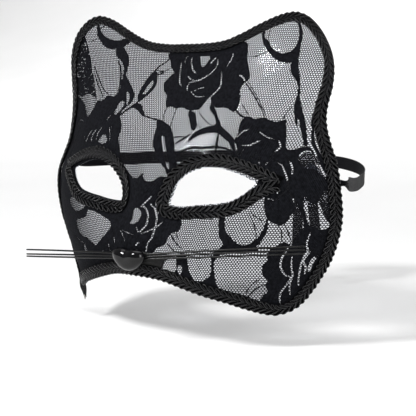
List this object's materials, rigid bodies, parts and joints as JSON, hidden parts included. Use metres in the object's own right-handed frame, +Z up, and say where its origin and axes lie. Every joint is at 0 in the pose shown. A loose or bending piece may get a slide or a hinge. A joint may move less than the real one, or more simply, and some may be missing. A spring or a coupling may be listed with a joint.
{
  "type": "lace cat half-mask",
  "caption": "Cat half-mask: clear moulded shell under black floral lace, edged with scroll braid, with a glossy nose, bristle whiskers and ribbon ties.",
  "frame": {"origin": "bridge of the nose, on the face surface midway between the eye openings' inner corners", "axes": "+X to the wearer's left, +Y into the face, +Z up; the mask faces -Y"},
  "size_m": [0.2056, 0.2168, 0.1731],
  "materials": {
    "clear_plastic": "clear glossy thermoformed sheet",
    "lace": "matte black floral lace on net",
    "braid": "black rayon scroll braid with a soft sheen",
    "nose_plastic": "polished black",
    "base_film": "smooth black film",
    "bristle": "glossy black bristle",
    "patch_felt": "black cloth pressed into glue",
    "ribbon": "black woven ribbon"
  },
  "bodies": {
    "root": {"clear_shell": "clear_plastic", "lace_cover": "lace", "edge_braid": "braid", "eye_braid_left": "braid", "eye_braid_right": "braid", "nose": "nose_plastic", "whisker_base": "base_film", "whisker_left_1": "bristle", "whisker_left_2": "bristle", "whisker_left_3": "bristle", "whisker_right_1": "bristle", "whisker_right_2": "bristle", "whisker_right_3": "bristle", "tie_patch_left": "patch_felt", "tie_patch_right": "patch_felt", "tie_left": "ribbon", "tie_right": "ribbon", "bow_knot": "ribbon", "bow_loop_left": "ribbon", "bow_loop_right": "ribbon", "bow_tail_left": "ribbon", "bow_tail_right": "ribbon"}
  },
  "joints": []
}
